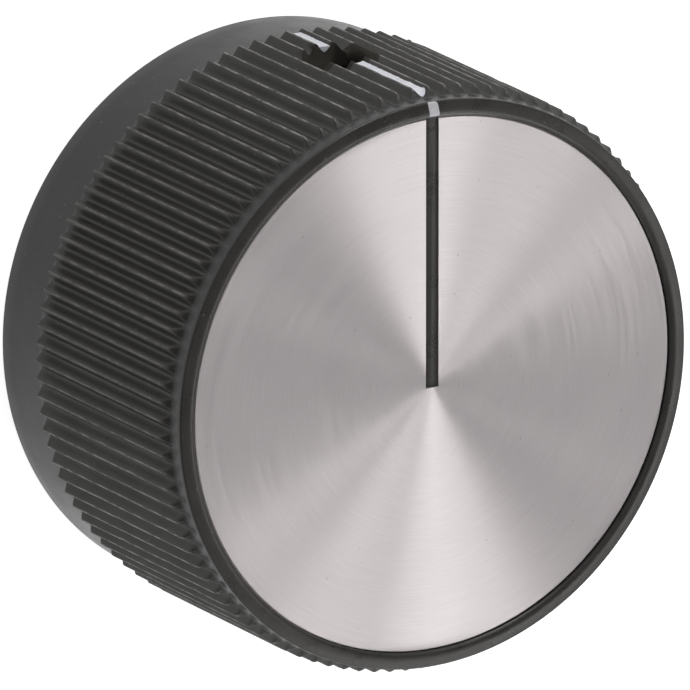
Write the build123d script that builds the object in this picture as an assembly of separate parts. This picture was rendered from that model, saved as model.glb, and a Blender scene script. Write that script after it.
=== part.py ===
from build123d import *
import os
from math import pi, radians, tan

# Selector knob for a quarter-inch shaft, in millimetres.
# The shaft runs up the Z axis. z = 0 is the back face, which turns close to the panel,
# the aluminium-faced front is at the top, and the pointer looks along +Y.

# ---- Driving sizes: outside of the moulded body ----
knob_height = 25.4
crest_diameter = 44.0           # over the ribs of the grip
rib_count = 103
rib_depth = 0.70
rib_crest_flat = 0.16
groove_floor = 0.10             # bare strip of the body between two rib feet
rib_end_radius = 0.12           # where the crest turns down at each end of a rib
front_lean = 0.10               # how far a rib's front end leans back over its depth
rear_lean = 0.35
front_band = 1.60               # smooth band between the front and the feet of the ribs
skirt_height = 5.6              # smooth skirt behind the ribs
back_edge_radius = 0.20

# ---- Driving sizes: rim, recess and face inlay ----
rim_width = 1.20
rim_outer_radius = 0.15
rim_inner_radius = 0.06
disc_recess = 0.30              # the disc's face lies this far below the rim
disc_thickness = 0.50
disc_gap = 0.10
disc_edge_chamfer = 0.08
film_thickness = 0.10
film_margin = 0.50
pointer_width = 0.95            # moulded key that fills the slot in the disc
pointer_overrun = 0.20          # the key runs this far past the centre
pointer_sink = 0.08             # the key's top lies this far below the disc's face
pointer_gap = 0.06

# ---- Driving sizes: paint ----
stripe_fill = 0.55              # depth of the paint in its groove
stripe_inset = 0.75             # from the rear feet of the ribs to the square end of the paint
stripe_puddle_radius = 0.75     # round end where the groove opens on to the front band
stripe_overrun = 0.35           # the round end stands this far out on the front band
stripe_nose = 0.60              # length over which the paint falls to the band
mark_width = 0.85
mark_depth = 0.20
mark_corner_radius = 0.25
mark_edge_margin = 0.03         # bare plastic between the mark and the rim's outer radius

# ---- Driving sizes: hollow underside ----
side_wall = 2.30
face_wall = 2.20
cavity_draft = 1.0              # degrees, on the side wall and on the hub
cavity_fillet = 0.80
hub_radius = 8.40
hub_recess = 2.0                # the hub stops short of the back face, clear of the panel nut
web_thickness = 1.80
web_recess = 3.0
web_count = 4

# ---- Driving sizes: brass insert and set screw ----
shaft_diameter = 6.35
shaft_clearance = 0.025         # radial
insert_flats = 11.11
insert_cover = 3.30             # plastic between the insert and the recess floor
insert_chamfer = 0.60
insert_groove_width = 1.60
insert_groove_depth = 0.80
insert_groove_inset = 2.20      # from the insert's inner end to the groove
bore_end_wall = 1.20
bore_chamfer = 0.40
drill_point_angle = 118.0
screw_height = 12.8             # axis of the set screw above the back face
screw_diameter = 4.166
thread_clearance = 0.02
screw_length = 4.76
screw_retraction = 0.15         # from the shaft bore to the screw's point
screw_end_chamfer = 0.45
screw_cup_diameter = 2.20
screw_cup_depth = 0.60
screw_cup_edge = 0.20           # flat ring round the cup
socket_flats = 1.98
socket_depth = 2.20
port_diameter = 5.00            # hole in the grip through which the hex key goes
port_floor_gap = 0.30           # from the screw's outer end to the step in the hole
pilot_clearance = 0.15          # radial, round the screw where it stands out of the insert
port_boss_wall = 1.60

# ---- Sizes that follow ----
crest_radius = crest_diameter / 2
body_radius = crest_radius - rib_depth
rib_pitch = 2 * pi * body_radius / rib_count
rib_base = rib_pitch - groove_floor
flank_slope = (rib_base - rib_crest_flat) / 2 / rib_depth
rib_front = knob_height - front_band
recess_radius = body_radius - rim_width
disc_radius = recess_radius - disc_gap
disc_top = knob_height - disc_recess
recess_floor = disc_top - disc_thickness - film_thickness
cavity_ceiling = recess_floor - face_wall
bore_radius = shaft_diameter / 2 + shaft_clearance
insert_top = recess_floor - insert_cover
insert_length = insert_top - hub_recess
screw_radius = screw_diameter / 2
screw_point = bore_radius + screw_retraction
port_floor = screw_point + screw_length + port_floor_gap
port_radius = port_diameter / 2
pitch_angle = 360 / rib_count
pointer_angle = 90


def turned(points, rounds=()):
    """Solid of revolution from a profile of (radius, height) points.

    rounds lists (radius, height, fillet radius) for the corners that are rounded.
    """
    face = make_face(Plane.XZ * Polyline(*points, close=True))
    for r, z, size in rounds:
        face = fillet(face.vertices().sort_by_distance((r, 0, z))[0], size)
    return revolve(face, Axis.Z)


def plan_prism(sketch, bottom, top):
    """A sketch in the XY plane, made solid between two heights."""
    return Pos(0, 0, bottom) * extrude(sketch, top - bottom)


def radial_cylinder(radius, start, end, height):
    """Cylinder along +Y between two distances from the axis, at one height."""
    plane = Plane((0, start, height), z_dir=(0, 1, 0))
    return extrude(plane * Circle(radius), end - start)


# ---- Grip ribs ----

def rib_side():
    """Side view of a rib: its steep ends, rounded over where they meet the crest."""
    root = body_radius - rib_depth / 2
    face = make_face(Polyline(
        (root, skirt_height - rear_lean / 2),
        (crest_radius, skirt_height + rear_lean),
        (crest_radius, rib_front - front_lean),
        (root, rib_front + front_lean / 2),
        close=True,
    ))
    crest_corners = face.vertices().group_by(Axis.X)[-1]
    return fillet(crest_corners, rib_end_radius)


def grip_rib():
    """One rib of the grip, on the +X side, rooted a little way into the body."""
    sunk = groove_floor / 4 / flank_slope
    foot = rib_base / 2 + groove_floor / 4
    crest = rib_crest_flat / 2
    section = Polyline(
        (crest_radius, -crest),
        (crest_radius, crest),
        (body_radius - sunk, foot),
        (body_radius - rib_depth, crest),
        (body_radius - rib_depth, -crest),
        (body_radius - sunk, -foot),
        close=True,
    )
    prism = extrude(make_face(section), knob_height)
    return prism & extrude(Plane.XZ * rib_side(), rib_pitch, both=True)


def grip_ribs(first=0, count=rib_count):
    """Ribs numbered round from the pointer, whose own line is a groove."""
    start = pointer_angle + pitch_angle / 2
    rib = grip_rib()
    return [Rot(0, 0, start + pitch_angle * (first + n)) * rib for n in range(count)]


# ---- Moulded body ----

def body_shell():
    """Outer wall, face and hub of the body in one profile, with the ribs on it."""
    taper = tan(radians(cavity_draft))
    mouth = body_radius - side_wall
    end = mouth - cavity_ceiling * taper
    hub_root = hub_radius + (cavity_ceiling - hub_recess) * taper
    profile = [
        (0, recess_floor),
        (recess_radius, recess_floor),
        (recess_radius, knob_height),
        (body_radius, knob_height),
        (body_radius, 0),
        (mouth, 0),
        (end, cavity_ceiling),
        (hub_root, cavity_ceiling),
        (hub_radius, hub_recess),
        (0, hub_recess),
    ]
    rounds = [
        (recess_radius, knob_height, rim_inner_radius),
        (body_radius, knob_height, rim_outer_radius),
        (body_radius, 0, back_edge_radius),
        (end, cavity_ceiling, cavity_fillet),
        (hub_root, cavity_ceiling, cavity_fillet),
    ]
    return turned(profile, rounds) + grip_ribs()


def web(bottom):
    """Straight web from the hub to the side wall, on the +X side."""
    inner = hub_radius - face_wall
    outer = body_radius - side_wall / 2
    depth = cavity_ceiling + face_wall / 2 - bottom
    block = Box(outer - inner, web_thickness, depth, align=(Align.MIN, Align.CENTER, Align.MIN))
    return Pos(inner, 0, bottom) * block


def port_boss():
    """Thick web on the +Y side, round below, which carries the set-screw port."""
    radius = port_radius + port_boss_wall
    start = hub_radius - face_wall
    length = body_radius - side_wall / 2 - start
    column = Pos(0, start, screw_height) * Box(
        2 * radius,
        length,
        cavity_ceiling + face_wall / 2 - screw_height,
        align=(Align.CENTER, Align.MIN, Align.MIN),
    )
    return column + radial_cylinder(radius, start, start + length, screw_height)


def port_hole():
    """Stepped hole to the set screw: close round the screw, wide for the hex key."""
    pilot = radial_cylinder(screw_radius + pilot_clearance, 0, port_floor, screw_height)
    return pilot + radial_cylinder(port_radius, port_floor, crest_diameter, screw_height)


def pointer_key():
    """Moulded key that stands in the disc's slot and reads as the pointer line."""
    start = -pointer_overrun
    end = recess_radius + rim_width / 2
    root = recess_floor - face_wall / 4
    key = Box(
        pointer_width,
        end - start,
        disc_top - pointer_sink - root,
        align=(Align.CENTER, Align.MIN, Align.MIN),
    )
    return Pos(0, start, root) * key


def knob_body():
    webs = [
        Rot(0, 0, pointer_angle + 360 / web_count * n) * web(web_recess)
        for n in range(1, web_count)
    ]
    body = body_shell() + webs + port_boss() + pointer_key()
    return body - insert_blank() - port_hole() - rim_mark()


# ---- Brass insert and set screw ----

def insert_blank():
    """Hexagonal bar with a turned retaining groove, before it is bored."""
    corner = insert_flats
    flat = insert_flats / 2
    groove_top = insert_top - insert_groove_inset
    turning = [
        (0, hub_recess),
        (corner, hub_recess),
        (corner, groove_top - insert_groove_width),
        (flat - insert_groove_depth, groove_top - insert_groove_width),
        (flat - insert_groove_depth, groove_top),
        (corner, groove_top),
        (corner, insert_top - insert_chamfer - (corner - flat)),
        (flat - insert_chamfer, insert_top),
        (0, insert_top),
    ]
    bar = plan_prism(RegularPolygon(flat, 6, major_radius=False), hub_recess, insert_top)
    return bar & turned(turning)


def shaft_bushing():
    """The insert with its drilled shaft bore and the tapped hole for the set screw."""
    point = bore_radius / tan(radians(drill_point_angle / 2))
    bore_end = insert_top - bore_end_wall
    bore = turned([
        (0, hub_recess),
        (bore_radius + bore_chamfer, hub_recess),
        (bore_radius, hub_recess + bore_chamfer),
        (bore_radius, bore_end - point),
        (0, bore_end),
    ])
    tapped = radial_cylinder(screw_radius + thread_clearance, 0, insert_flats, screw_height)
    return insert_blank() - bore - tapped


def set_screw():
    """Cup-point socket set screw, its axis along +Y, drawn at its thread diameter."""
    cup = screw_cup_diameter / 2
    tip = cup + screw_cup_edge
    turning = [
        (0, screw_cup_depth),
        (cup, 0),
        (tip, 0),
        (screw_radius, screw_radius - tip),
        (screw_radius, screw_length - screw_end_chamfer),
        (screw_radius - screw_end_chamfer, screw_length),
        (0, screw_length),
    ]
    hexagon = RegularPolygon(socket_flats / 2, 6, major_radius=False)
    socket = plan_prism(hexagon, screw_length - socket_depth, screw_length)
    upright = turned(turning) - socket
    return Pos(0, screw_point, screw_height) * (Rot(-90, 0, 0) * upright)


# ---- Face inlay ----

def slotted_disc(radius, slot_gap, bottom, top):
    """Disc with the radial slot that clears the pointer key by slot_gap all round."""
    width = pointer_width + 2 * slot_gap
    start = -pointer_overrun - slot_gap
    slot = Pos(0, start) * Rectangle(width, 2 * radius, align=(Align.CENTER, Align.MIN))
    return plan_prism(Circle(radius) - slot, bottom, top)


def face_disc():
    """Spun aluminium disc with a broken front edge."""
    bottom = disc_top - disc_thickness
    disc = slotted_disc(disc_radius, pointer_gap, bottom, disc_top)
    rounded = turned([
        (0, bottom),
        (disc_radius, bottom),
        (disc_radius, disc_top - disc_edge_chamfer),
        (disc_radius - disc_edge_chamfer, disc_top),
        (0, disc_top),
    ])
    return disc & rounded


def disc_film():
    """Adhesive film between the disc and the recess floor."""
    return slotted_disc(disc_radius - film_margin, film_margin, recess_floor,
                        recess_floor + film_thickness)


# ---- Paint ----

def rim_mark():
    """White inlay across the rim, flush with it."""
    end = body_radius - rim_outer_radius - mark_edge_margin
    start = recess_radius - mark_corner_radius
    bar = Rectangle(mark_width, end - start, align=(Align.CENTER, Align.MIN))
    bar = fillet(bar.vertices().group_by(Axis.Y)[-1], mark_corner_radius)
    plan = Pos(0, start) * bar - Circle(recess_radius + rim_inner_radius)
    return plan_prism(plan, knob_height - mark_depth, knob_height)


def stripe_side():
    """Side view of the paint in a groove: square behind, rounded down in front."""
    root = body_radius - rib_depth / 2
    top = body_radius + stripe_fill
    tip = rib_front + stripe_overrun
    straight = Polyline(
        (top, tip - stripe_nose),
        (top, skirt_height + stripe_inset),
        (root, skirt_height + stripe_inset),
        (root, tip),
        (body_radius, tip),
    )
    nose = TangentArc(straight @ 0, straight @ 1, tangent=(0, 1))
    return make_face([straight, nose])


def index_stripe():
    """White paint that fills the pointer's groove, behind and in front of the port."""
    side = extrude(Plane.XZ * stripe_side(), rib_pitch, both=True)
    puddle_centre = rib_front + stripe_overrun - stripe_puddle_radius
    groove = Rectangle(rib_pitch, puddle_centre, align=(Align.CENTER, Align.MIN))
    outline = groove + Pos(0, puddle_centre) * Circle(stripe_puddle_radius)
    front_view = Plane((0, 0, 0), x_dir=(-1, 0, 0), z_dir=(0, 1, 0))
    paint = (Rot(0, 0, pointer_angle) * side) & extrude(front_view * outline, crest_radius)
    neighbours = [Cylinder(body_radius, 2 * knob_height)] + grip_ribs(-1, 2)
    port = radial_cylinder(port_radius, 0, crest_diameter, screw_height)
    return (paint - neighbours - port).solids().sort_by(Axis.Z)


rear_stripe, front_stripe = index_stripe()
nodes = {
    "knob_body": knob_body(),
    "shaft_bushing": shaft_bushing(),
    "set_screw": set_screw(),
    "face_disc": face_disc(),
    "disc_film": disc_film(),
    "index_stripe_front": front_stripe,
    "index_stripe_rear": rear_stripe,
    "rim_mark": rim_mark(),
}

os.makedirs("parts", exist_ok=True)
for name, solid in nodes.items():
    export_step(solid, f"parts/{name}.step")
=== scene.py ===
import math
import random

import bmesh
import bpy
from mathutils import Matrix, Vector, noise

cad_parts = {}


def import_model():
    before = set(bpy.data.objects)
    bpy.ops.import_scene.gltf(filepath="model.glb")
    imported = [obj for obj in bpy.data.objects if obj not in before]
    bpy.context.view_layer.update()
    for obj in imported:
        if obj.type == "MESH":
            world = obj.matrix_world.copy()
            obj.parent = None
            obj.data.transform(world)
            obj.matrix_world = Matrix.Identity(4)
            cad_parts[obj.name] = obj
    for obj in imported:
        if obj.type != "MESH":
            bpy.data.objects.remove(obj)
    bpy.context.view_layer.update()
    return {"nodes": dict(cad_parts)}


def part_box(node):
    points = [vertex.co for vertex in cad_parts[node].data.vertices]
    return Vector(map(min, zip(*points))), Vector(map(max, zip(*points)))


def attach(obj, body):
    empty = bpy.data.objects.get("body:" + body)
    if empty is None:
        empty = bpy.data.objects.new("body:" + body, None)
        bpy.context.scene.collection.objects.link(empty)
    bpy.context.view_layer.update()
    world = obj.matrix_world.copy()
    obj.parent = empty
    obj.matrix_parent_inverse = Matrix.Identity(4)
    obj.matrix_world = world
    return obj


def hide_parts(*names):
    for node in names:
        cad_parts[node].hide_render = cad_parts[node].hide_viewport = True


# Looks of the selector knob. Everything is in metres, in the row frame: the knob lies on its
# back on z = 0, the shaft axis is +Z and the pointer looks along +Y.

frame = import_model()

MM = 0.001
face_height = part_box("knob_body")[1].z
crest_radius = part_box("knob_body")[1].x
disc_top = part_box("face_disc")[1].z
disc_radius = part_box("face_disc")[1].x
screw_height = (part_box("set_screw")[0].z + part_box("set_screw")[1].z) / 2

# ---- Sizes of the body, as in the solid ----
RIBS = 103
RIB_DEPTH = 0.70 * MM
SKIRT = 5.6 * MM                # height of the smooth skirt, where the ribs begin
FRONT_BAND = 1.60 * MM          # smooth band between the ribs and the front
BACK_ROUND = 0.20 * MM
PORT_RADIUS = 2.50 * MM         # hole for the set screw's key
RECESS_FLOOR = 24.5 * MM        # the disc's seat

# ---- Ribs ----
CREST_SOFTNESS = 0.13           # roundness of the crest, as a share of half the pitch
CREST_FLAT = 0.03               # its flat top, likewise
FLUTE_SHAPE = 1.60              # 1 is a straight flank, more is a hollower flute
RIB_PHASE = 0.08                # turn of the whole grip, as a share of the pitch
RIB_SWAY = 0.015                # unevenness, as a share of the rib's height
RIB_SWAY_ALONG = 260            # how fast it changes along a rib, per metre,
RIB_SWAY_ROUND = 1.7            # and from rib to rib
RIB_END_HEIGHT = RIB_DEPTH * 1.10   # what the run-outs rise to, just over the crests
REAR_RISE = 0.50 * MM           # length of the run-out at the skirt
REAR_OVERRUN = 0.04 * MM
REAR_FILLET = 0.07 * MM         # rounding between the crest and the run-out
FRONT_FALL = 1.10 * MM          # length of the run-out at the front band
FRONT_OVERRUN = 0.56 * MM
FRONT_FILLET = 0.26 * MM
NICK_CHANCE = 0.05              # for each point along a crest
NICK_DEPTH = (0.02, 0.09)       # mm
NICK_REACH = 0.07               # half width of a nick, as a share of the pitch
NICK_SEED = 11

# ---- Set-screw port ----
PORT_SHIFT = -0.62 * MM         # the hole was drilled a little to one side of the stripe,
PORT_DROP = 0.20 * MM           # and a little further back
PORT_NARROW = 0.90              # its width, as a share of its height
PORT_TEAR = 0.06 * MM           # unevenness of its edge
PORT_TEAR_WAVES = (3.1, 9.0)    # coarse and fine, round the hole
PORT_CUT = (19 * MM, 23 * MM)   # the cutter's reach along +Y
PORT_SIDES = 96

# ---- Rim round the disc ----
RIM_ROUND = 0.16 * MM           # its outer edge
RIM_INSIDE = 20.03 * MM         # the wall round the disc
RIM_SLOPE = 0.45 * MM           # how far that wall rounds out up to the rim
RIM_LIP = 0.03 * MM             # where the rounding starts, above the disc
RIM_CROWN = 0.09 * MM           # how far the top falls towards its outer edge
RIM_CROWN_SHAPE = 1.3           # 1 is a straight fall, more starts flatter

# ---- Seam between the finer shell and the solid's own inside ----
SHELL_INSIDE = 20.3 * MM
SHELL_INSET = 0.3 * MM          # how far the shell's corners lie inside the wall
SHELL_INSET_TOP = 0.4 * MM      # the same under the disc's seat
CORE_RADIUS = 20.6 * MM
CORE_LEDGE = 0.05 * MM          # how far the core ends below the disc's seat
CORE_WALL = 0.02 * MM           # and how far it passes the wall round the disc
CORE_SEGMENTS = 360
WELD = 1e-7                     # a CAD mesh's points this close become one

# ---- Paint ----
STRIPE_FILL = 0.42 * MM         # depth of the paint in the groove
STRIPE_START = 6.1 * MM
STRIPE_END = 23.92 * MM
STRIPE_GAP = 2.1 * MM           # both stripes run into the port, this far from its middle
STRIPE_GRID = (15, 90)
STRIPE_WAVES = (900, 2600)      # coarse and fine unevenness, per metre
STRIPE_WANDER = 0.10            # its share of the width
STRIPE_WAVE = 0.05              # its share of the depth
STRIPE_DISH = 0.06              # how far the paint sags between its sides, likewise
STRIPE_NOSE = 0.70 * MM         # length of the round drop at the front end
STRIPE_BULGE = 0.05             # how much wider the drop is, as a share of the pitch,
STRIPE_BULGE_AT = 0.55          # where it is widest, as a share of its length,
STRIPE_BULGE_REACH = 0.9        # how far it swells to both sides of that place,
STRIPE_TIP_REACH = 1.3          # and how far from the end the paint has its full depth
STRIPE_TIP = 0.04 * MM          # depth at the very end
STRIPE_TIP_WIDTH = 0.002        # half width there, as a share of the pitch
STRIPE_DOME = 0.5 * MM          # the paint is domed from this far behind the ribs' ends
PAINT_FILM = 0.03 * MM
PAINT_ROOT = 0.03 * MM          # how far the paint reaches into the body
MARK_GRID = (17, 33)
MARK_WIDTH = 0.82 * MM
MARK_START = 20.20 * MM
MARK_WRAP = 62                  # degrees that the mark runs over the rim's outer edge
MARK_CORNER = 0.28 * MM         # radius of one outer corner,
MARK_CORNER_TIGHT = 0.3         # and of the other, as a share of that
MARK_WANDER = 0.03              # unevenness of its sides
MARK_SHIFT_IN = 0.04 * MM       # the mark was stamped a little askew
MARK_SHIFT_OUT = -0.12 * MM
MARK_FLAT = 0.75                # height between its raised edges, as a share of the film
MARK_RIDGE = 0.35               # how much the edges add to that
MARK_RIDGE_SIDE = 0.16          # how wide they are at the sides, as a share of half the mark,
MARK_RIDGE_END = 0.10           # and at the ends

# ---- Shading ----
SHARP_BODY = 42                 # degrees from which an edge stays sharp
SHARP_PAINT = 55

body_radius = crest_radius - RIB_DEPTH
rib_front = face_height - FRONT_BAND
rim_crest = RIM_INSIDE + RIM_SLOPE
rim_edge = body_radius - RIM_ROUND
pitch = 2 * math.pi / RIBS

# ---- Camera: a long lens, so that the ribs stay parallel ----
CAMERA_AZIMUTH = 149.89         # direction from the knob to the camera
CAMERA_ELEVATION = 55.17
CAMERA_ROLL = -115.46
CAMERA_DISTANCE = 2.165
CAMERA_SENSOR = 36.0            # mm
CAMERA_LENS = 1565.2            # mm
AIM_RIGHT = -6.449 * MM         # the picture's centre, from the centre of the face
AIM_UP = 2.903 * MM


def towards(azimuth, elevation):
    """Unit vector from the knob, for two angles in degrees."""
    a, e = math.radians(azimuth), math.radians(elevation)
    return Vector((math.cos(a) * math.cos(e), math.sin(a) * math.cos(e), math.sin(e)))


def add_camera():
    back = towards(CAMERA_AZIMUTH, CAMERA_ELEVATION)
    level = back.to_track_quat("Z", "Y").to_matrix()
    turn = level @ Matrix.Rotation(-math.radians(CAMERA_ROLL), 3, "Z")
    right, up = turn.col[0], turn.col[1]
    aim = Vector((0, 0, face_height)) + right * AIM_RIGHT + up * AIM_UP
    data = bpy.data.cameras.new("camera")
    data.sensor_width = CAMERA_SENSOR
    data.lens = CAMERA_LENS
    data.clip_start = CAMERA_DISTANCE / 10
    data.clip_end = CAMERA_DISTANCE * 4
    camera = new_object("camera", data)
    camera.matrix_world = Matrix.Translation(aim + back * CAMERA_DISTANCE) @ turn.to_4x4()
    bpy.context.scene.camera = camera


# ---- Mesh helpers ----

def new_object(name, data):
    obj = bpy.data.objects.new(name, data)
    bpy.context.scene.collection.objects.link(obj)
    return obj


def from_bmesh(name, bm):
    mesh = bpy.data.meshes.new(name)
    bm.to_mesh(mesh)
    bm.free()
    return new_object(name, mesh)


def from_loose_bmesh(name, bm):
    """The same, for faces whose sides have yet to be turned outwards."""
    bmesh.ops.recalc_face_normals(bm, faces=bm.faces)
    return from_bmesh(name, bm)


def ring_grid(name, columns, rows, point):
    """Closed ring: columns go round the axis, rows go round the wall's section."""
    points = [point(c, r) for r in range(rows) for c in range(columns)]
    faces = []
    for r in range(rows):
        low, high = r * columns, (r + 1) % rows * columns
        for c in range(columns):
            d = (c + 1) % columns
            faces.append((low + c, low + d, high + d, high + c))
    mesh = bpy.data.meshes.new(name)
    mesh.from_pydata(points, [], faces)
    mesh.update()
    return new_object(name, mesh)


def lathe(name, profile, segments):
    """Closed solid turned about Z from a profile that starts and ends on the axis."""
    bm = bmesh.new()
    rings = []
    for r, z in profile:
        if r == 0:
            rings.append([bm.verts.new((0, 0, z))] * segments)
        else:
            angles = [2 * math.pi * n / segments for n in range(segments)]
            rings.append([bm.verts.new((r * math.cos(a), r * math.sin(a), z)) for a in angles])
    for low, high in zip(rings, rings[1:]):
        for n in range(segments):
            m = (n + 1) % segments
            corners = list(dict.fromkeys((low[n], low[m], high[m], high[n])))
            bm.faces.new(corners)
    return from_loose_bmesh(name, bm)


def port_drill():
    """Cutter for the set-screw port, along +Y, with the slightly torn edge of a drilled hole."""
    bm = bmesh.new()
    rims = []
    coarse, fine = PORT_TEAR_WAVES
    for y in PORT_CUT:
        rim = []
        for n in range(PORT_SIDES):
            a = 2 * math.pi * n / PORT_SIDES
            cos, sin = math.cos(a), math.sin(a)
            torn = noise.noise(Vector((cos * coarse, sin * coarse, 7.0)))
            torn += 0.5 * noise.noise(Vector((cos * fine, sin * fine, 2.0)))
            r = PORT_RADIUS + PORT_TEAR * torn
            x = PORT_SHIFT + PORT_NARROW * r * cos
            rim.append(bm.verts.new((x, y, screw_height - PORT_DROP - r * sin)))
        rims.append(rim)
    for n in range(PORT_SIDES):
        m = (n + 1) % PORT_SIDES
        bm.faces.new((rims[0][n], rims[0][m], rims[1][m], rims[1][n]))
    bm.faces.new(list(reversed(rims[0])))
    bm.faces.new(rims[1])
    return from_loose_bmesh("port_drill", bm)


def combine(target, cutter, operation):
    """Boolean of two closed meshes, applied to the target; the cutter goes."""
    modifier = target.modifiers.new("join", "BOOLEAN")
    modifier.operation = operation
    modifier.solver = "MANIFOLD"
    modifier.object = cutter
    graph = bpy.context.evaluated_depsgraph_get()
    result = bpy.data.meshes.new_from_object(target.evaluated_get(graph))
    target.modifiers.clear()
    target.data = result
    bpy.data.objects.remove(cutter)


def cad_copy(node, name):
    """Closed copy of a CAD node's mesh; the node itself stays as it is."""
    bm = bmesh.new()
    bm.from_mesh(frame["nodes"][node].data)
    bmesh.ops.remove_doubles(bm, verts=bm.verts, dist=WELD)
    return from_bmesh(name, bm)


def rename(obj, name):
    obj.name = name
    obj.data.name = name


def smooth(obj, angle):
    mesh = obj.data
    mesh.polygons.foreach_set("use_smooth", [True] * len(mesh.polygons))
    mesh.set_sharp_from_angle(angle=math.radians(angle))
    mesh.update()


def soft_min(a, b, k):
    """The smaller of two values, with their crossing rounded over a width k."""
    h = max(0.0, min(1.0, 0.5 + 0.5 * (b - a) / k))
    return b + (a - b) * h - k * h * (1 - h)


def s_curve(x):
    """Smooth step from 0 to 1."""
    x = max(0.0, min(1.0, x))
    return x * x * (3 - 2 * x)


def on_grip(place, radius, z):
    """Point of the grip, with its place round the axis counted in pitches."""
    a = math.pi / 2 + (place + RIB_PHASE) * pitch
    return (radius * math.cos(a), radius * math.sin(a), z)


# ---- Body: the ribbed grip and the rim, in finer form than the solid ----

COLUMN_PLACES = (0.0, 0.10, 0.20, 0.30, 0.38, 0.44, 0.478, 0.522, 0.56, 0.62, 0.70, 0.80, 0.90)


def rib_height(place):
    """Section across one pitch: a narrow crest between two hollow flutes."""
    s = max(0.0, abs(2 * place - 1) - CREST_FLAT) / (1 - CREST_FLAT)
    full = math.hypot(1, CREST_SOFTNESS) - CREST_SOFTNESS
    t = (math.hypot(s, CREST_SOFTNESS) - CREST_SOFTNESS) / full
    return RIB_DEPTH * (1 - t) ** FLUTE_SHAPE


def rib_ends(z):
    """Height that the run-outs at the skirt and at the front band leave a rib."""
    rear = s_curve((z - SKIRT + REAR_OVERRUN) / REAR_RISE)
    front = s_curve((rib_front + FRONT_OVERRUN - z) / FRONT_FALL)
    return RIB_END_HEIGHT * rear, RIB_END_HEIGHT * front


def grip_radius(rib, place, z, nick=0.0):
    """Radius of the grip at one height, with a real moulding's unevenness."""
    sway = noise.noise(Vector((rib * RIB_SWAY_ROUND, z * RIB_SWAY_ALONG, 3.0)))
    full = rib_height(place) * (1 + RIB_SWAY * sway) - nick
    rear, front = rib_ends(z)
    height = soft_min(full, rear, REAR_FILLET)
    height = soft_min(height, front, FRONT_FILLET)
    return body_radius + max(0.0, height)


def rim_top(r):
    """Height of the rim's top, which rounds down to the disc and falls a little outwards."""
    share = min(1.0, max(0.0, (r - RIM_INSIDE) / RIM_SLOPE))
    foot = disc_top + RIM_LIP
    rise = (face_height - foot) * math.sqrt(1 - (1 - share) ** 2)
    outwards = max(0.0, (r - rim_crest) / (rim_edge - rim_crest))
    return foot + rise - RIM_CROWN * outwards ** RIM_CROWN_SHAPE


def body_rows():
    """Places round the wall's section: (radius or None for the grip, height)."""
    rows = [(SHELL_INSIDE, 0.0), (body_radius - BACK_ROUND - SHELL_INSET, 0.0)]
    for n in range(5):
        a = math.radians(22.5 * n)
        out, up = 1 - math.sin(a), 1 - math.cos(a)
        rows.append((body_radius - BACK_ROUND * out, BACK_ROUND * up))
    rows += [(body_radius, z * MM) for z in (1.5, 3.0, 4.5, 5.3)]
    rear = [5.56, 5.62, 5.68, 5.74, 5.80, 5.86, 5.92, 5.99, 6.08, 6.2]
    middle = [6.45 + 0.92 * n for n in range(19)]
    front = [23.2, 23.42, 23.54, 23.63, 23.71, 23.78, 23.84, 23.90, 23.97, 24.05, 24.15]
    rows += [(None, z * MM) for z in rear + middle + front]
    rows += [(body_radius, z * MM) for z in (24.4, 24.8)]
    for n in range(6):
        a = math.radians(18 * n)
        z = face_height - RIM_CROWN - RIM_ROUND * (1 - math.sin(a))
        rows.append((rim_edge + RIM_ROUND * math.cos(a), z))
    tops = [rim_edge + (rim_crest - rim_edge) * share for share in (0.30, 0.65)]
    tops += [RIM_INSIDE + share * RIM_SLOPE for share in (1.0, 0.74, 0.50, 0.30, 0.15, 0.05, 0.0)]
    rows += [(r, rim_top(r)) for r in tops]
    rows += [(RIM_INSIDE, RECESS_FLOOR - SHELL_INSET)]
    rows += [(SHELL_INSIDE, RECESS_FLOOR - SHELL_INSET_TOP)]
    return rows


def grip_shell():
    """Wall of the body from the back to the disc's seat, ribs and rim included."""
    rows = body_rows()
    per_rib = len(COLUMN_PLACES)
    chance = random.Random(NICK_SEED)
    nicks = {}
    for rib in range(RIBS):
        for row, (r, _) in enumerate(rows):
            if r is None and chance.random() < NICK_CHANCE:
                nicks[rib, row] = chance.uniform(*NICK_DEPTH) * MM

    def point(column, row):
        rib, part = divmod(column, per_rib)
        place = COLUMN_PLACES[part]
        r, z = rows[row]
        if r is None:
            nick = nicks.get((rib, row), 0.0) if abs(place - 0.5) < NICK_REACH else 0.0
            r = grip_radius(rib, place, z, nick)
        return on_grip(rib + place, r, z)

    return ring_grid("grip_shell", RIBS * per_rib, len(rows), point)


def body():
    """The finer shell, joined to the inside of the solid itself."""
    obj = grip_shell()
    combine(obj, port_drill(), "DIFFERENCE")
    below, above = -1 * MM, 27 * MM
    ledge, wall = RECESS_FLOOR - CORE_LEDGE, RIM_INSIDE + CORE_WALL
    limit = [(0, below), (CORE_RADIUS, below), (CORE_RADIUS, ledge), (wall, ledge), (wall, above),
             (0, above)]
    core = cad_copy("knob_body", "core")
    combine(core, lathe("core_limit", limit, CORE_SEGMENTS), "INTERSECT")
    combine(obj, core, "UNION")
    rename(obj, "moulded_body")
    smooth(obj, SHARP_BODY)
    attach(obj, "root")
    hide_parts("knob_body")
    return obj


# ---- Paint: index stripes in the pointer's groove, and the mark on the rim ----

def groove_place(height):
    """How far from the middle of a flute, as a share of the pitch, its side reaches a height."""
    low, high = 0.0, 0.5
    for _ in range(40):
        middle = (low + high) / 2
        if rib_height(middle) < height:
            low = middle
        else:
            high = middle
    return low


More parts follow.
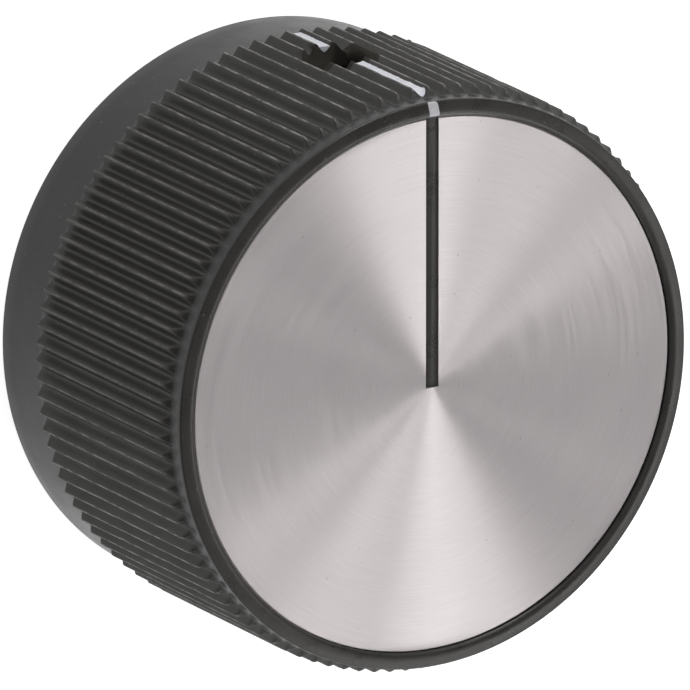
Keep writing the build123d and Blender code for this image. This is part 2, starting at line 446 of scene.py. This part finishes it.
def skin(name, across, along, top, bottom):
    """Closed thin solid between two grids of points."""
    bm = bmesh.new()
    layers = []
    for surface in (top, bottom):
        layers.append([[bm.verts.new(surface(i, j)) for i in range(across)] for j in range(along)])
    upper, lower = layers
    for j in range(along - 1):
        for i in range(across - 1):
            k, m = j + 1, i + 1
            bm.faces.new((upper[j][i], upper[j][m], upper[k][m], upper[k][i]))
            bm.faces.new((lower[j][i], lower[k][i], lower[k][m], lower[j][m]))
    edge = [(j, 0) for j in range(along)] + [(along - 1, i) for i in range(1, across)]
    edge += [(j, across - 1) for j in range(along - 2, -1, -1)]
    edge += [(0, i) for i in range(across - 2, 0, -1)]
    for (j, i), (k, m) in zip(edge, edge[1:] + edge[:1]):
        bm.faces.new((upper[j][i], upper[k][m], lower[k][m], lower[j][i]))
    return from_loose_bmesh(name, bm)


def stripe(name, start, end, seed, round_end):
    """Paint that lies in one flute, brushed by hand: uneven sides and, in front, a round end."""
    across, along = STRIPE_GRID
    coarse, fine = STRIPE_WAVES
    full = groove_place(STRIPE_FILL)

    def measure(j):
        """Height on the knob, half width as a share of the pitch, and depth of the paint."""
        z = start + (end - start) * j / (along - 1)
        wander = noise.noise(Vector((seed, z * coarse, 0.0)))
        wander += 0.5 * noise.noise(Vector((seed, z * fine, 5.0)))
        half = full * (1 + STRIPE_WANDER * wander)
        height = STRIPE_FILL * (1 + STRIPE_WAVE * wander)
        if round_end:
            left = max(0.0, end - z)
            nose = min(1.0, left / STRIPE_NOSE)
            off_widest = abs(left - STRIPE_BULGE_AT * STRIPE_NOSE)
            bulge = s_curve(1 - off_widest / (STRIPE_BULGE_REACH * STRIPE_NOSE))
            half = (half + bulge * STRIPE_BULGE) * math.sqrt(max(0.0, 1 - (1 - nose) ** 2))
            half += STRIPE_TIP_WIDTH
            filled = s_curve(left / (STRIPE_TIP_REACH * STRIPE_NOSE))
            height = STRIPE_TIP + (height - STRIPE_TIP) * filled
        return z, half, height

    def top(i, j):
        z, half, height = measure(j)
        v = 2 * i / (across - 1) - 1
        place = v * half
        domed = round_end and z > rib_front - STRIPE_DOME
        section = 1 - abs(v) ** 5 if domed else 1 - STRIPE_DISH * (1 - v * v)
        film = grip_radius(0, place % 1.0, z) + PAINT_FILM * (1 - abs(v) ** 8)
        return on_grip(place, max(body_radius + height * section, film), z)

    def bottom(i, j):
        z, half, _ = measure(j)
        place = (2 * i / (across - 1) - 1) * half
        return on_grip(place, grip_radius(0, place % 1.0, z) - PAINT_ROOT, z)

    obj = skin(name, across, along, top, bottom)
    combine(obj, port_drill(), "DIFFERENCE")
    rename(obj, name)
    return obj


def rim_place(s):
    """Point and outward direction on the rim's section, from its inner edge outwards."""
    flat = rim_edge - MARK_START
    if s <= flat:
        r, step = MARK_START + s, 0.01 * MM
        slope = math.atan2(rim_top(r + step) - rim_top(r - step), 2 * step)
        return r, rim_top(r), (-math.sin(slope), math.cos(slope))
    a = (s - flat) / RIM_ROUND
    r = rim_edge + RIM_ROUND * math.sin(a)
    return r, face_height - RIM_CROWN - RIM_ROUND * (1 - math.cos(a)), (math.sin(a), math.cos(a))


def rim_paint():
    """Stamped mark that runs outwards over the rim, with a slightly raised outline."""
    across, along = MARK_GRID
    length = rim_edge - MARK_START + RIM_ROUND * math.radians(MARK_WRAP)

    def place(i, j, lift):
        v = 2 * i / (across - 1) - 1
        t = j / (along - 1)
        r, z, (out, up) = rim_place(t * length)
        shift = MARK_SHIFT_IN * (1 - t) + MARK_SHIFT_OUT * t
        wander = 1 + MARK_WANDER * noise.noise(Vector((v * 2, t * 9, 4.0)))
        half = MARK_WIDTH / 2 * wander
        corner = MARK_CORNER if v > 0 else MARK_CORNER * MARK_CORNER_TIGHT
        left = (1 - t) * length
        if left < corner:
            half -= corner - math.sqrt(max(0.0, corner ** 2 - (corner - left) ** 2))
        x = shift + v * half
        if lift > 0:
            side, end = abs(v), abs(2 * t - 1)
            by_side = math.exp(-((1 - side) / MARK_RIDGE_SIDE) ** 2)
            by_end = math.exp(-((1 - end) / MARK_RIDGE_END) ** 2)
            ridge = MARK_RIDGE * by_side + MARK_RIDGE * by_end
            lift *= (1 - max(side, end) ** 10) * (MARK_FLAT + ridge)
        y = math.sqrt(r * r - x * x)
        return Vector((x, y, z)) + Vector((x / r * out, y / r * out, up)) * lift

    return skin("rim_mark_paint", across, along,
                lambda i, j: place(i, j, PAINT_FILM), lambda i, j: place(i, j, -PAINT_ROOT))


def paint_work():
    front = stripe("front_stripe_paint", screw_height + STRIPE_GAP, STRIPE_END, 2.0, True)
    rear = stripe("rear_stripe_paint", STRIPE_START, screw_height - STRIPE_GAP, 8.0, False)
    mark = rim_paint()
    nodes = {front: "index_stripe_front", rear: "index_stripe_rear", mark: "rim_mark"}
    for obj, node in nodes.items():
        smooth(obj, SHARP_PAINT)
        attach(obj, "root")
        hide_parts(node)
    return front, rear, mark


# ---- Node helpers ----

class Graph:
    """A material and short names for the nodes that it is made of."""

    def __init__(self, name):
        self.material = bpy.data.materials.new(name)
        self.material.use_nodes = True
        self.tree = self.material.node_tree
        self.shader = self.tree.nodes["Principled BSDF"]
        self.place = self.node("ShaderNodeTexCoord").outputs["Object"]

    def node(self, kind, **settings):
        node = self.tree.nodes.new(kind)
        for key, value in settings.items():
            setattr(node, key, value)
        return node

    def give(self, socket, value):
        """Link a socket to another, or set it to a plain value."""
        if isinstance(value, bpy.types.NodeSocket):
            self.tree.links.new(value, socket)
        else:
            socket.default_value = value

    def set(self, **values):
        """Inputs of the shader, with _ for each space in a name."""
        for key, value in values.items():
            self.give(self.shader.inputs[key.replace("_", " ")], value)

    def math(self, operation, a, b=0.0, clamp=False):
        node = self.node("ShaderNodeMath", operation=operation, use_clamp=clamp)
        self.give(node.inputs[0], a)
        self.give(node.inputs[1], b)
        return node.outputs[0]

    def plus(self, a, b):
        return self.math("ADD", a, b)

    def minus(self, a, b):
        return self.math("SUBTRACT", a, b)

    def times(self, a, b, clamp=False):
        return self.math("MULTIPLY", a, b, clamp)

    def split(self, vector):
        node = self.node("ShaderNodeSeparateXYZ")
        self.give(node.inputs[0], vector)
        return node.outputs

    def join(self, x, y, z):
        node = self.node("ShaderNodeCombineXYZ")
        for socket, value in zip(node.inputs, (x, y, z)):
            self.give(socket, value)
        return node.outputs[0]

    def noise(self, scale, detail=2.0, rough=0.5, vector=None):
        node = self.node("ShaderNodeTexNoise")
        self.give(node.inputs["Vector"], self.place if vector is None else vector)
        node.inputs["Scale"].default_value = scale
        node.inputs["Detail"].default_value = detail
        node.inputs["Roughness"].default_value = rough
        return node.outputs["Fac"]

    def cells(self, scale):
        node = self.node("ShaderNodeTexVoronoi")
        self.give(node.inputs["Vector"], self.place)
        node.inputs["Scale"].default_value = scale
        return node.outputs["Distance"]

    def range(self, value, low, high, to_low=0.0, to_high=1.0):
        """Smooth step of a value between two limits, which may also run downwards."""
        node = self.node("ShaderNodeMapRange", interpolation_type="SMOOTHSTEP")
        self.give(node.inputs["Value"], value)
        limits = {"From Min": low, "From Max": high, "To Min": to_low, "To Max": to_high}
        for key, number in limits.items():
            node.inputs[key].default_value = number
        return node.outputs["Result"]

    def specks(self, cell_scale, outer, inner, patch_scale, bare, full):
        """Small round specks that lie together in patches."""
        dots = self.range(self.cells(cell_scale), outer, inner)
        return self.times(dots, self.range(self.noise(patch_scale, 1), bare, full))

    def blend(self, share, first, second):
        node = self.node("ShaderNodeMix", data_type="RGBA")
        self.give(node.inputs[0], share)
        for socket, value in ((node.inputs[6], first), (node.inputs[7], second)):
            self.give(socket, value if isinstance(value, bpy.types.NodeSocket) else (*value, 1))
        return node.outputs[2]

    def bump(self, height, distance, under=None):
        node = self.node("ShaderNodeBump")
        node.inputs["Strength"].default_value = 1.0
        node.inputs["Distance"].default_value = distance
        self.give(node.inputs["Height"], height)
        if under is not None:
            self.give(node.inputs["Normal"], under)
        return node.outputs[0]

    def length(self, a, b):
        return self.math("SQRT", self.plus(self.times(a, a), self.times(b, b)))

    def radius(self):
        x, y, _ = self.split(self.place)
        return self.length(x, y)

    def turned(self, across, along, depth=0.0):
        """Noise space for lathe marks round the axis: across per metre, along per radian."""
        x, y, z = self.split(self.place)
        r = self.radius()
        safe = self.math("MAXIMUM", r, 1e-5)
        level = self.plus(self.times(r, across), self.times(z, depth))
        cos = self.times(self.math("DIVIDE", x, safe), along)
        sin = self.times(self.math("DIVIDE", y, safe), along)
        return self.join(level, cos, sin)


# ---- Materials ----

GRIP_DARK, GRIP_LIGHT = (0.0195, 0.0185, 0.0160), (0.0290, 0.0275, 0.0240)
GRIP_SLEEK = (0.0080, 0.0078, 0.0074)
# Pale crests: partly wear, partly a painted highlight
GRIP_WEAR_AND_HIGHLIGHT = (0.36, 0.348, 0.328)
GRIP_DUST = (0.30, 0.285, 0.26)
GRIP_IOR = 1.42
# Painted light: the rim, the grip's own plastic, made lighter as if lit
RIM_PAINTED_LIGHT = (0.064, 0.060, 0.055)
# Painted light: the pointer key, the grip's own plastic, made lighter as if its top were lit
KEY_PAINTED_LIGHT = (0.062, 0.059, 0.055)
# Painted light: the hole's wall, lighter than the grip, stands in for light reaching into the hole
HOLE_PAINTED_LIGHT = (0.036, 0.033, 0.027)
CREST_HALF = (0.076, 0.036)     # the crests' wear and painted highlight fade and are full here, as shares of the pitch
FAINT_HIGHLIGHT_SIDE = 68                  # degrees from the pointer to the side where the crests catch least light and their painted highlight is faintest


def plastic():
    """Moulded black grip: crests pale with wear and a painted highlight, sleeker skirt and front,
    painted light on the rim, the pointer key and the hole's wall, blotches, dust and lint.
    """
    g = Graph("black_plastic")
    r = g.radius()
    x, y, z = g.split(g.place)
    turn = g.minus(g.math("ARCTAN2", y, x), math.pi / 2)
    blotch = g.noise(330, 3, 0.55)
    grain = g.noise(7600, 2, 0.6)
    dirt = g.math("MAXIMUM", g.specks(1150, 0.11, 0.05, 420, 0.50, 0.62),
                  g.specks(3600, 0.16, 0.06, 900, 0.52, 0.66))

    # Pale streaks on the crests, partly wear and partly a painted highlight, fainter on the side
    # where they catch less light and at the front ends.
    place = g.math("FRACT", g.minus(g.math("DIVIDE", turn, pitch), RIB_PHASE))
    off_crest = g.math("ABSOLUTE", g.minus(place, 0.5))
    ribbed = g.times(g.range(z, 5.65 * MM, 5.90 * MM), g.range(z, 24.10 * MM, 23.50 * MM))
    ribbed = g.times(ribbed, g.range(r, body_radius + 0.08 * MM, body_radius + 0.20 * MM))
    crest = g.times(g.range(off_crest, *CREST_HALF), ribbed)
    # Painted highlight: the streaks fade towards the side where the crests catch less light.
    facing = g.math("COSINE", g.minus(turn, math.radians(FAINT_HIGHLIGHT_SIDE)))
    crest = g.times(crest, g.range(facing, 0.70, 0.97, 1.0, 0.40))
    crest = g.times(crest, g.range(z, 23.10 * MM, 23.60 * MM, 1.0, 0.70))
    streak = g.noise(1.0, 3, 0.65, g.join(g.times(x, 3400), g.times(y, 3400), g.times(z, 800)))
    wear_and_highlight = g.times(crest, g.range(streak, 0.36, 0.64), clamp=True)

    # Shares of the skirt and front, of the rim's top and the wall round the disc, of the hole's
    # wall and of the pointer key; the last three are painted lighter, as painted light.
    skirt = g.range(z, 5.4 * MM, 5.8 * MM, 1.0, 0.0)
    sleek = g.math("MAXIMUM", skirt, g.range(z, 23.95 * MM, 24.25 * MM))
    rim = g.range(z, disc_top + 0.06 * MM, disc_top + 0.20 * MM)
    rim = g.times(rim, g.range(blotch, 0.2, 0.7, 0.75, 1.0))
    away = g.length(g.minus(x, PORT_SHIFT * 0.5), g.minus(z, screw_height))
    hole = g.times(g.range(away, PORT_RADIUS + 0.40 * MM, PORT_RADIUS + 0.30 * MM),
                   g.range(y, 12 * MM, 16 * MM))
    key = g.times(g.range(r, disc_radius + 0.01 * MM, disc_radius),
                  g.range(z, 24.3 * MM, 24.6 * MM))

    base = g.blend(blotch, GRIP_DARK, GRIP_LIGHT)
    base = g.blend(g.times(sleek, 0.85), base, GRIP_SLEEK)
    # Pale crests, partly wear and partly a painted highlight.
    base = g.blend(g.times(wear_and_highlight, 0.90), base, GRIP_WEAR_AND_HIGHLIGHT)
    # Painted light: the rim's top and the wall round the disc, lighter than the grip's plastic,
    # which also lifts that wall's shade.
    base = g.blend(g.times(rim, 0.85), base, RIM_PAINTED_LIGHT)
    base = g.blend(g.times(dirt, 0.40), base, GRIP_DUST)
    # Painted light on the hole's wall, lighter than the grip's plastic.
    base = g.blend(hole, base, HOLE_PAINTED_LIGHT)
    # Painted light: the pointer key, lighter than the grip's plastic, as if its top were lit.
    base = g.blend(g.times(key, g.range(blotch, 0.2, 0.8, 0.7, 1.0)), base, KEY_PAINTED_LIGHT)
    rough = g.plus(g.range(blotch, 0.3, 0.7, 0.44, 0.52), g.times(wear_and_highlight, 0.06))
    rough = g.plus(rough, g.times(hole, 0.45))
    rough = g.minus(rough, g.times(sleek, 0.18))
    rough = g.plus(rough, g.times(g.minus(grain, 0.5), 0.10))
    g.set(Base_Color=base, Roughness=rough, IOR=GRIP_IOR)
    wave = g.bump(g.noise(420, 2, 0.5), 0.028 * MM)
    g.set(Normal=g.bump(dirt, 0.012 * MM, g.bump(grain, 0.0045 * MM, wave)))
    return g.material


def aluminium():
    """Lathe-spun face: fine rings, longer shallow bands and short bright scratches."""
    g = Graph("spun_aluminium")
    fine = g.noise(1.0, 2, 0.6, g.turned(13500, 4.2))
    band = g.noise(1.0, 1, 0.5, g.turned(5200, 1.9))
    scratch = g.range(g.noise(1.0, 1, 0.5, g.turned(15500, 12)), 0.66, 0.78)
    stain = g.noise(210, 3, 0.6)
    pit = g.specks(900, 0.09, 0.04, 350, 0.52, 0.6)
    base = g.blend(stain, (0.80, 0.745, 0.752), (0.86, 0.80, 0.808))
    base = g.blend(g.range(fine, 0.25, 0.75, 0.24, 0.0), base, (0.60, 0.555, 0.555))
    base = g.blend(g.times(pit, 0.5), base, (0.42, 0.40, 0.39))
    rough = g.plus(g.range(band, 0.3, 0.7, 0.37, 0.42), g.times(g.minus(fine, 0.5), 0.10))
    rough = g.minus(rough, g.times(scratch, 0.08))
    round_axis = g.node("ShaderNodeTangent", direction_type="RADIAL", axis="Z").outputs[0]
    g.set(Base_Color=base, Metallic=1.0, Roughness=rough)
    g.set(Anisotropic=1.0, Anisotropic_Rotation=0.25, Tangent=round_axis)
    rings = g.bump(fine, 0.0008 * MM, g.bump(band, 0.0005 * MM))
    g.set(Normal=g.bump(scratch, 0.0014 * MM, rings))
    return g.material


def paint(name, light, dark):
    """Hand-filled white paint: mottled, with a little orange peel and grime."""
    g = Graph(name)
    mottle = g.noise(1500, 3, 0.6)
    grime = g.specks(2100, 0.20, 0.08, 700, 0.50, 0.64)
    base = g.blend(g.range(mottle, 0.32, 0.62), dark, light)
    base = g.blend(g.times(grime, 0.45), base, (0.30, 0.28, 0.26))
    g.set(Base_Color=base, Roughness=g.range(mottle, 0.3, 0.7, 0.52, 0.38))
    peel = g.bump(g.noise(1100, 2, 0.5), 0.018 * MM)
    g.set(Normal=g.bump(g.noise(4200, 2, 0.5), 0.006 * MM, peel))
    return g.material


def brass():
    """Machined bushing: rings from the tool, tarnish in patches."""
    g = Graph("brass")
    rings = g.noise(1.0, 2, 0.6, g.turned(9000, 3, 9000))
    tarnish = g.noise(380, 4, 0.6)
    base = g.blend(g.range(tarnish, 0.40, 0.66), (0.76, 0.58, 0.28), (0.46, 0.31, 0.14))
    base = g.blend(g.range(rings, 0.35, 0.7, 0.0, 0.25), base, (0.88, 0.72, 0.40))
    g.set(Base_Color=base, Metallic=1.0, Roughness=g.range(tarnish, 0.35, 0.7, 0.26, 0.48))
    g.set(Normal=g.bump(rings, 0.004 * MM, g.bump(g.noise(900, 2), 0.008 * MM)))
    return g.material


def black_steel():
    """Oxide-blacked set screw with bare metal showing at rubbed places."""
    g = Graph("black_steel")
    bare = g.range(g.noise(1300, 4, 0.65), 0.60, 0.72)
    grain = g.noise(8000, 2, 0.6)
    base = g.blend(bare, (0.055, 0.055, 0.060), (0.38, 0.37, 0.36))
    g.set(Base_Color=base, Metallic=1.0, Roughness=g.range(grain, 0.3, 0.7, 0.34, 0.52))
    g.set(Normal=g.bump(grain, 0.005 * MM, g.bump(g.noise(1800, 2), 0.010 * MM)))
    return g.material


def adhesive():
    """Film that holds the disc: cloudy, with trapped specks."""
    g = Graph("adhesive")
    cloud = g.noise(600, 3, 0.6)
    speck = g.range(g.cells(1800), 0.14, 0.06)
    base = g.blend(cloud, (0.46, 0.44, 0.38), (0.66, 0.64, 0.58))
    base = g.blend(g.times(speck, 0.6), base, (0.22, 0.21, 0.18))
    g.set(Base_Color=base, Roughness=g.range(cloud, 0.3, 0.7, 0.50, 0.70))
    g.set(Normal=g.bump(cloud, 0.010 * MM))
    return g.material


def dress(obj, material):
    obj.data.materials.clear()
    obj.data.materials.append(material)


dress(frame["nodes"]["face_disc"], aluminium())
dress(frame["nodes"]["shaft_bushing"], brass())
dress(frame["nodes"]["set_screw"], black_steel())
dress(frame["nodes"]["disc_film"], adhesive())
front_paint, rear_paint, mark_paint = paint_work()
stripe_white = paint("stripe_white", (0.93, 0.94, 1.0), (0.82, 0.83, 0.90))
mark_white = paint("mark_white", (0.77, 0.76, 0.80), (0.64, 0.63, 0.67))
dress(body(), plastic())
dress(front_paint, stripe_white)
dress(rear_paint, stripe_white)
dress(mark_paint, mark_white)


# ---- Floor, lamps and world ----

FLOOR_HALF = 1.5
FLOOR_DROP = 0.02 * MM          # so that it doesn't share a plane with the knob's back
FLOOR_COLOUR = (0.85, 0.85, 0.85, 1)
FLOOR_GLOW = 0.85               # its own light as the camera sees it; the lamps add the rest
FLOOR_MIRRORED = 0.80           # share of that glow in metal and plastic
LAMP_DISTANCE = 0.8


def floor():
    """White to the camera and in reflections, but no light on the knob of its own."""
    half, z = FLOOR_HALF, -FLOOR_DROP
    mesh = bpy.data.meshes.new("floor")
    corners = [(-half, -half, z), (half, -half, z), (half, half, z), (-half, half, z)]
    mesh.from_pydata(corners, [], [(0, 1, 2, 3)])
    obj = new_object("floor", mesh)
    g = Graph("floor")
    path = g.node("ShaderNodeLightPath").outputs
    mirrored = g.math("MAXIMUM", path["Is Glossy Ray"], path["Is Transmission Ray"])
    seen = g.math("MAXIMUM", path["Is Camera Ray"], g.times(mirrored, FLOOR_MIRRORED))
    g.set(Base_Color=FLOOR_COLOUR, Roughness=0.9, Specular_IOR_Level=0.0)
    g.set(Emission_Color=(1, 1, 1, 1), Emission_Strength=g.times(seen, FLOOR_GLOW))
    dress(obj, g.material)


def lamp(name, azimuth, elevation, size, power):
    """Rectangular lamp that looks at the knob."""
    data = bpy.data.lights.new(name, "AREA")
    data.shape = "RECTANGLE"
    data.size, data.size_y = size
    data.energy = power
    obj = new_object(name, data)
    back = towards(azimuth, elevation)
    obj.location = back * LAMP_DISTANCE
    obj.rotation_mode = "QUATERNION"
    obj.rotation_quaternion = back.to_track_quat("Z", "Y")


def world(horizon, overhead, fade):
    """White surroundings, brighter near the horizon than overhead."""
    w = bpy.data.worlds.new("world")
    bpy.context.scene.world = w
    w.use_nodes = True
    tree = w.node_tree
    rise = tree.nodes.new("ShaderNodeSeparateXYZ")
    tree.links.new(tree.nodes.new("ShaderNodeTexCoord").outputs["Generated"], rise.inputs[0])
    shade = tree.nodes.new("ShaderNodeMapRange")
    shade.interpolation_type = "SMOOTHSTEP"
    limits = {"From Min": 0.0, "From Max": fade, "To Min": horizon, "To Max": overhead}
    for key, number in limits.items():
        shade.inputs[key].default_value = number
    tree.links.new(rise.outputs["Z"], shade.inputs["Value"])
    background = tree.nodes["Background"]
    background.inputs["Color"].default_value = (1, 1, 1, 1)
    tree.links.new(shade.outputs["Result"], background.inputs["Strength"])


add_camera()
floor()
world(horizon=0.60, overhead=0.08, fade=0.55)
lamp("back_left", -88, 45, (0.66, 0.16), 0.36)
lamp("back_middle", -60, 45, (0.38, 0.16), 0.70)
lamp("back_right", -24, 45, (0.38, 0.16), 0.69)
lamp("back_low", -60, 20, (0.16, 0.16), 0.75)
lamp("pointer_high", 75, 45, (0.58, 0.16), 0.87)
lamp("pointer_low", 82, 20, (0.30, 0.16), 1.55)
lamp("front_high", 150, 68, (0.16, 0.16), 0.10)
lamp("left_low", 243, 14, (0.26, 0.10), 0.40)

bpy.context.scene.view_settings.view_transform = "Standard"
